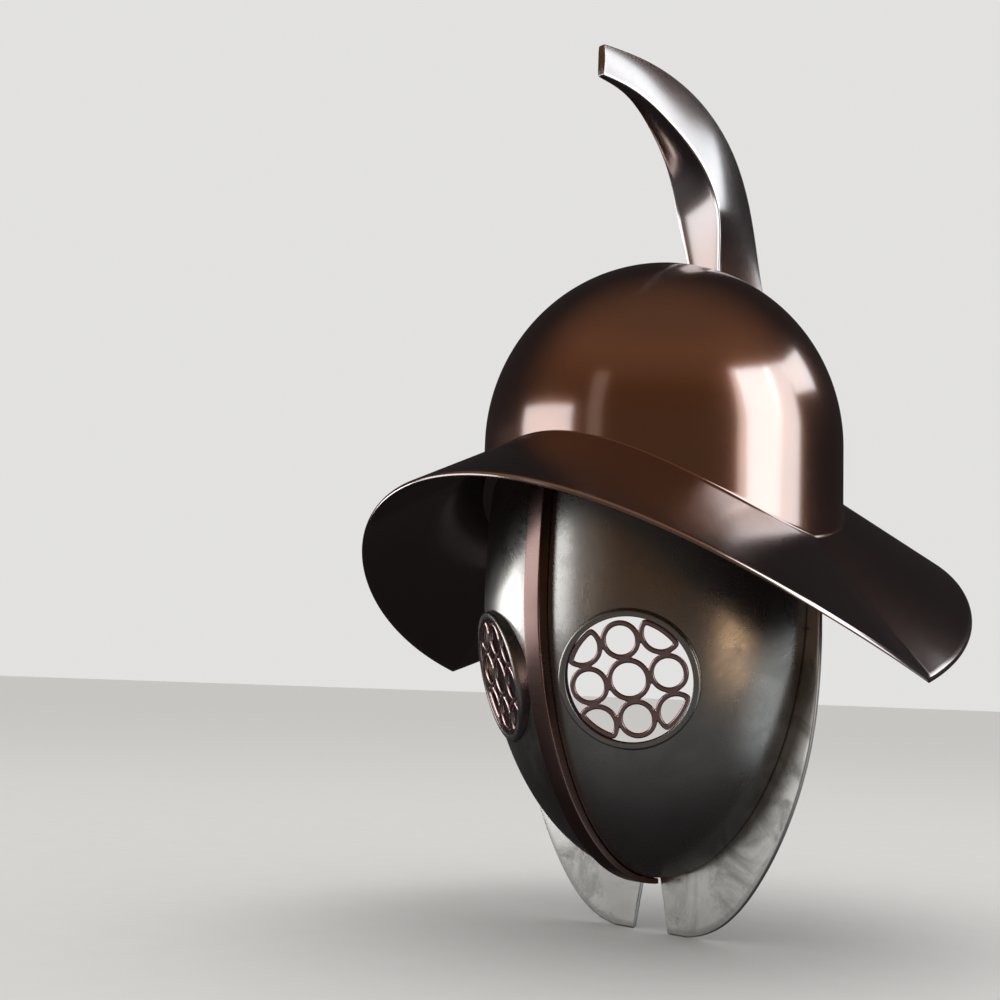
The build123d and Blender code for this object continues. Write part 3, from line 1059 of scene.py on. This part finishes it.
# %% A finish in the making
class Finish(Sheet):
    """A material in the making, which reads its patterns at the piece's own place."""

    def __init__(self, name):
        super().__init__(bpy.data.materials.new(name))
        self.place = self.node("ShaderNodeTexCoord", out="Object")

    def noise(self, scale, stretch=(1, 1, 1), detail=4.0, roughness=0.55, distortion=0.0):
        """Soft noise from 0 to 1, with `scale` lumps a metre, drawn out along an axis."""
        spread = self.node("ShaderNodeMapping", {"vector_type": "POINT"},
                           {"Vector": self.place, "Scale": stretch})
        return self.node("ShaderNodeTexNoise", {"noise_dimensions": "3D"},
                         {"Vector": spread, "Scale": scale, "Detail": detail,
                          "Roughness": roughness, "Distortion": distortion})

    def bump(self, height, distance, before=None):
        """Relief of up to `distance`, laid over an earlier bump if there is one."""
        inputs = {"Strength": 1.0, "Distance": distance, "Height": height}
        if before is not None:
            inputs["Normal"] = before
        return self.node("ShaderNodeBump", None, inputs)

    def metal(self, colour, roughness, relief, **fixed):
        """Ends the material in one metal shader; `fixed` are values on the shader's own sockets."""
        inputs = {"Base Color": colour, "Metallic": 1.0, "Roughness": roughness, "Normal": relief}
        inputs.update({name.replace("_", " "): value for name, value in fixed.items()})
        shader = self.node("ShaderNodeBsdfPrincipled", None, inputs)
        return self.end("ShaderNodeOutputMaterial", shader)


def wear(piece, material):
    """Gives a piece one material."""
    piece.data.materials.clear()
    piece.data.materials.append(material)

# %% [markdown]
# ## Old copper
#
# The bowl, the brim and the horn are one copper alloy, hammered smooth, polished and then left
# to darken. Its polish isn't even: cloths leave long soft wipe marks, hands leave duller
# patches, and the planishing hammer leaves broad shallow facets that only bend the reflections.
# The brim's copy of the copper is painted darker, as painted shade.
# The rims are rubbed bright, and the colour drifts a little; the bright colour on rims and edges is
# also a painted highlight. Bare copper tints every reflection red, but the old pieces were waxed,
# and wax mirrors a window in its own white. So they have a clear coat with a strong reflection
# over the brown. The horn, which hands polish most, pales with its distance from the bowl. The rib
# and the grilles are cleaner metal without wax.

# %% Copper
horn_brown_to = 0.116                      # distances from the helmet's middle, in metres
horn_pale_from = 0.185
hammer_depth = 0.35 * MM
scratch_depth = 0.02 * MM


def copper(name, dark, warm, bright, polish, tip=None, **wax):
    """Darkened, polished copper. polish is its roughness where it is cleanest. A tip colour
    takes over with the distance from the helmet's middle, off the bowl."""
    finish = Finish(name)
    drift = finish.noise(7, detail=3)
    smudge = finish.noise(16, detail=3, roughness=0.55, distortion=0.6).between(0.46, 0.78)
    wipe = finish.noise(9, stretch=(1, 1, 11), detail=5, roughness=0.6)
    grain = finish.noise(900, detail=2)
    hammer = finish.noise(26, detail=1)
    scratch = finish.noise(60, stretch=(9, 1.5, 1), detail=2, distortion=1.2).between(0.66, 0.72)
    rub_and_edge_sheen = finish.node("ShaderNodeAttribute", {"attribute_name": "edge_rub_and_painted_reflection"}, out="Fac")
    colour = finish.blend(drift.between(0.35, 0.65), dark, warm)
    if tip:
        reach = finish.node("ShaderNodeVectorMath", {"operation": "LENGTH"},
                            {0: finish.place}, out="Value")
        colour = finish.blend(0.95 * reach.between(horn_brown_to, horn_pale_from), colour, tip)
    colour = finish.blend(0.22 * smudge, colour, [0.55 * part for part in dark])
    # Marked edges are painted brighter: partly rubbed wear, partly a painted highlight.
    colour = finish.blend(rub_and_edge_sheen.between(0.2, 0.9) * 0.85, colour, bright)
    roughness = polish + 0.07 * wipe + 0.05 * smudge + 0.02 * scratch - 0.03 * rub_and_edge_sheen
    relief = finish.bump(hammer, hammer_depth)
    relief = finish.bump(0.5 * wipe + 0.25 * grain, scratch_depth, relief)
    return finish.metal(colour, roughness, relief, **wax)

# %% The helmet's coppers
polished_wax = {"Coat_Weight": 1.0, "Coat_IOR": 3.2, "Coat_Roughness": 0.14}
brown, warm_brown = (0.22, 0.073, 0.032), (0.30, 0.108, 0.047)
old_copper = copper("old_copper", brown, warm_brown, (0.75, 0.55, 0.48), 0.17, **polished_wax)
# The brim's copper is a darker copy of the bowl's, painted shade.
dark_copper = copper("dark_copper", (0.11, 0.045, 0.030), (0.16, 0.065, 0.040),
                     (0.75, 0.57, 0.50), 0.17, **polished_wax)
crest_copper = copper("crest_copper", brown, warm_brown, (0.80, 0.72, 0.69), 0.17,
                      tip=(0.31, 0.25, 0.24), **polished_wax)
rib_copper = copper("rib_copper", (0.30, 0.195, 0.175), (0.38, 0.25, 0.225),
                    (0.75, 0.60, 0.55), 0.24)
cast_copper = copper("cast_copper", (0.62, 0.43, 0.42), (0.78, 0.57, 0.56),
                     (0.88, 0.74, 0.71), 0.22)
wear(bowl, old_copper)
wear(brim, dark_copper)
wear(crest, crest_copper)
wear(rib, rib_copper)
for name in ("left", "right"):
    wear(bpy.data.objects["eye_lattice_" + name], cast_copper)

# %% [markdown]
# ## Steel
#
# The visor is darker steel than the flange: it was raised hot and only rubbed down, so it keeps
# a soft grey bloom with upright streaks. A dark copper-brown line is painted along the edge that
# meets the flange, a painted reflection of the copper in the joint. The flange was cut from bright
# sheet and filed flat, and its edges are painted bright, partly rubbed and partly painted
# highlights. It shows faint stains, crossed hair scratches and duller fingered patches. Three
# materials could be drawn by hand, but they differ only in how strongly each mark shows, so one
# function makes them all.

# %% Steel
stake_depth = 0.5 * MM                     # unevenness left by the stake it was raised on


def steel(name, dark, light, polish, streaks, stains, edge=(0.88, 0.87, 0.85)):
    """Rubbed steel. streaks is how strongly it shows upright wipe marks, stains its spots, and
    edge the colour of its marked edges: a painted highlight where it is bright, a painted reflection
    where it is dark."""
    finish = Finish(name)
    drift = finish.noise(9, detail=4)
    streak = finish.noise(22, stretch=(1, 1, 0.12), detail=6, roughness=0.65)
    smudge = finish.noise(24, detail=7, roughness=0.72, distortion=1.0).between(0.44, 0.62)
    spot = finish.noise(75, detail=5, roughness=0.7, distortion=0.5).between(0.60, 0.74)
    hair = finish.noise(55, stretch=(12, 1, 2.2), detail=2, distortion=1.5).between(0.64, 0.70)
    cross_hair = finish.noise(48, stretch=(1.5, 1, 14), detail=2, distortion=1.1).between(0.65, 0.71)
    grain = finish.noise(1100, detail=2)
    rub_and_edge_sheen = finish.node("ShaderNodeAttribute", {"attribute_name": "edge_rub_and_painted_reflection"}, out="Fac")
    colour = finish.blend(drift.between(0.35, 0.65), dark, light)
    colour = finish.blend(stains * (0.35 * smudge + 0.45 * spot), colour, [0.4 * part for part in dark])
    # Marked edges take the edge colour: painted highlights on the flange's edges, a painted dark
    # reflection line on the visor.
    colour = finish.blend(rub_and_edge_sheen.between(0.2, 0.9) * 0.8, colour, edge)
    roughness = polish + streaks * 0.16 * streak + 0.07 * smudge + stains * 0.10 * spot
    scratches = hair + cross_hair
    relief = finish.bump(drift, stake_depth)
    relief = finish.bump(streaks * streak + 0.35 * grain - 0.5 * scratches, scratch_depth, relief)
    return finish.metal(colour, roughness, relief)


# The visor's edge colour is the dark copper-brown line painted along the flange joint as a reflection.
visor_steel = steel("visor_steel", (0.46, 0.445, 0.42), (0.60, 0.58, 0.55), 0.19, 1.0, 0.6,
                    edge=(0.15, 0.070, 0.045))
flange_steel = steel("flange_steel", (0.54, 0.53, 0.50), (0.78, 0.765, 0.735), 0.23, 0.7, 1.7)
ring_steel = steel("ring_steel", (0.46, 0.45, 0.42), (0.58, 0.56, 0.53), 0.22, 0.5, 0.5)
for name in ("left", "right"):
    wear(bpy.data.objects["visor_half_" + name], visor_steel)
    wear(bpy.data.objects["flange_plate_" + name], flange_steel)
    wear(bpy.data.objects["eye_collar_" + name], ring_steel)

# %% [markdown]
# ## The floor
#
# The helmet is shown over a plain pale floor, whose far end melts into a background of the same
# tone. A curved backdrop would do as well, but a very large flat floor needs no fitting. It
# isn't shown in reflections, or the helmet's whole underside would turn pale with it.

# %% Floor
floor_mesh = bpy.data.meshes.new("floor")
floor_reach = 60.0
floor_level = model_box[0].z - 0.2 * MM
corners = [(x * floor_reach, y * floor_reach, floor_level)
           for x, y in ((-1, -1), (1, -1), (1, 1), (-1, 1))]
floor_mesh.from_pydata(corners, [], [(0, 1, 2, 3)])
floor = bpy.data.objects.new("floor", floor_mesh)
bpy.context.scene.collection.objects.link(floor)
floor.visible_glossy = False
floor_paint = Finish("floor_paint")
floor_grain = floor_paint.noise(40, detail=3)
floor_paint_colour = floor_paint.blend(floor_grain, (0.78, 0.775, 0.76), (0.82, 0.815, 0.80))
floor_relief = floor_paint.bump(floor_grain, 0.05 * MM)
wear(floor, floor_paint.metal(floor_paint_colour, 0.9, floor_relief, Metallic=0.0))

# %% [markdown]
# ## Windows
#
# Polished metal is a picture of its room, so it is lit by what it mirrors. Tall soft windows to
# the left and right give long upright highlights with dark between them, which is what makes
# the metal look round. A lamp could be dragged about until its highlight falls right, but on a
# round thing it is easier to say which span of directions it fills, and to work out its place
# and size from that. Some panes are only a paler or warmer strip beside a window, as frames,
# curtains and walls are. They light the metal alone. One lamp over it lights the floor.

# %% Windows
camera_side = math.degrees(math.atan2(camera_place.x, -camera_place.y))
room_reach = 2.2                           # how far the windows stand from the helmet
room_middle = Vector((0, 0, -0.05))


def window(name, bearings_seen, lifts_seen, brightness, colour=(1.0, 1.0, 1.0)):
    """A soft window that fills a span of bearings and lifts, in degrees, as the helmet sees it.

    Bearings are counted from the camera's side, to its right. The lamp's power is its
    brightness times its area times pi."""
    (start, end), (low, high) = bearings_seen, lifts_seen
    way, lift = math.radians(camera_side + (start + end) / 2), math.radians((low + high) / 2)
    out = Vector((math.sin(way) * math.cos(lift), -math.cos(way) * math.cos(lift), math.sin(lift)))
    light = bpy.data.lights.new(name, "AREA")
    light.shape = "RECTANGLE"
    light.size = 2 * room_reach * math.tan(math.radians(end - start) / 2)
    light.size_y = 2 * room_reach * math.tan(math.radians(high - low) / 2)
    light.energy = brightness * math.pi * light.size * light.size_y
    light.color = colour
    lamp = bpy.data.objects.new(name, light)
    facing = (-out).to_track_quat("-Z", "Y").to_matrix().to_4x4()
    lamp.matrix_world = Matrix.Translation(room_middle + room_reach * out) @ facing
    lamp.visible_camera = lamp.visible_diffuse = False
    bpy.context.scene.collection.objects.link(lamp)
    print(name, round(light.size, 2), "by", round(light.size_y, 2), "m")
    return lamp


window("left_window", (-96, -57), (-10, 19), 1.8, (0.93, 0.97, 1.0))
window("low_left_pane", (-122, -98), (-10, 6), 4.0)
window("left_pane", (-46, -37), (-4, 36), 0.22, (1.0, 0.86, 0.74))
window("right_jamb", (46, 52), (-4, 38), 1.3, (1.0, 0.90, 0.85))
window("right_window", (52, 76), (-4, 38), 2.9, (0.85, 0.95, 1.0))
window("right_curtain", (76, 92), (-4, 38), 2.1, (0.86, 0.95, 1.0))
window("right_pane", (95, 118), (25, 38), 2.3, (0.86, 0.95, 1.0))
window("warm_card", (38, 60), (-21, -5), 1.1, (1.0, 0.66, 0.40))
window("cool_card", (68, 106), (-36, -6), 0.45, (0.86, 0.95, 1.0))
ceiling = window("ceiling", (30, 90), (60, 100), 0.8)
ceiling.visible_glossy, ceiling.visible_diffuse = False, True

# %% [markdown]
# ## The room round it
#
# Between the windows the metal mirrors a dim room: grey towards the floor, brown at the
# helmet's own height, warmer above, and nearly black behind the helmet. An image of a room would
# do this, but a ramp over height is plainer and can be tuned. Only mirrored rays see this room.
# All others see a pale grey, which fills the shadows on the floor and is the background.

# %% Room
background_grey = (0.76, 0.755, 0.745, 1)
behind_colour = (0.020, 0.017, 0.018)
dark_side_tilt = 0.25                      # the dark side also reaches under the helmet
dusk = 0.45                                # how softly it begins
room = Sheet(bpy.data.worlds.new("room"))
bpy.context.scene.world = room.owner
looking = room.node("ShaderNodeTexCoord", out="Generated")
split = room.node("ShaderNodeSeparateXYZ", None, {0: looking}, out="Z")
height = 0.5 + 0.5 * split
towards = camera_place.xy.normalized()
front = room.node("ShaderNodeVectorMath", {"operation": "DOT_PRODUCT"},
                  {0: looking, 1: (towards.x, towards.y, dark_side_tilt)}, out="Value")
walls = room.node("ShaderNodeValToRGB", {"stops": [
    (0.02, (0.04, 0.04, 0.042)), (0.97, (0.15, 0.085, 0.05)), (0.20, (0.12, 0.12, 0.125)),
    (0.38, (0.10, 0.085, 0.075)), (0.50, (0.10, 0.060, 0.034)), (0.70, (0.100, 0.044, 0.018)),
    (0.88, (0.20, 0.10, 0.052))]}, {0: height})
walls = room.blend(front.between(-dusk, dusk), behind_colour, walls)
reflected = room.node("ShaderNodeBackground", None, {"Color": walls, "Strength": 1.0})
seen = room.node("ShaderNodeBackground", None, {"Color": background_grey, "Strength": 1.0})
mirrored = room.node("ShaderNodeLightPath", out="Is Glossy Ray")
shown = room.node("ShaderNodeMixShader", None, {0: mirrored, 1: seen, 2: reflected})
room.end("ShaderNodeOutputWorld", shown)
bpy.context.scene.view_settings.view_transform = "Standard"
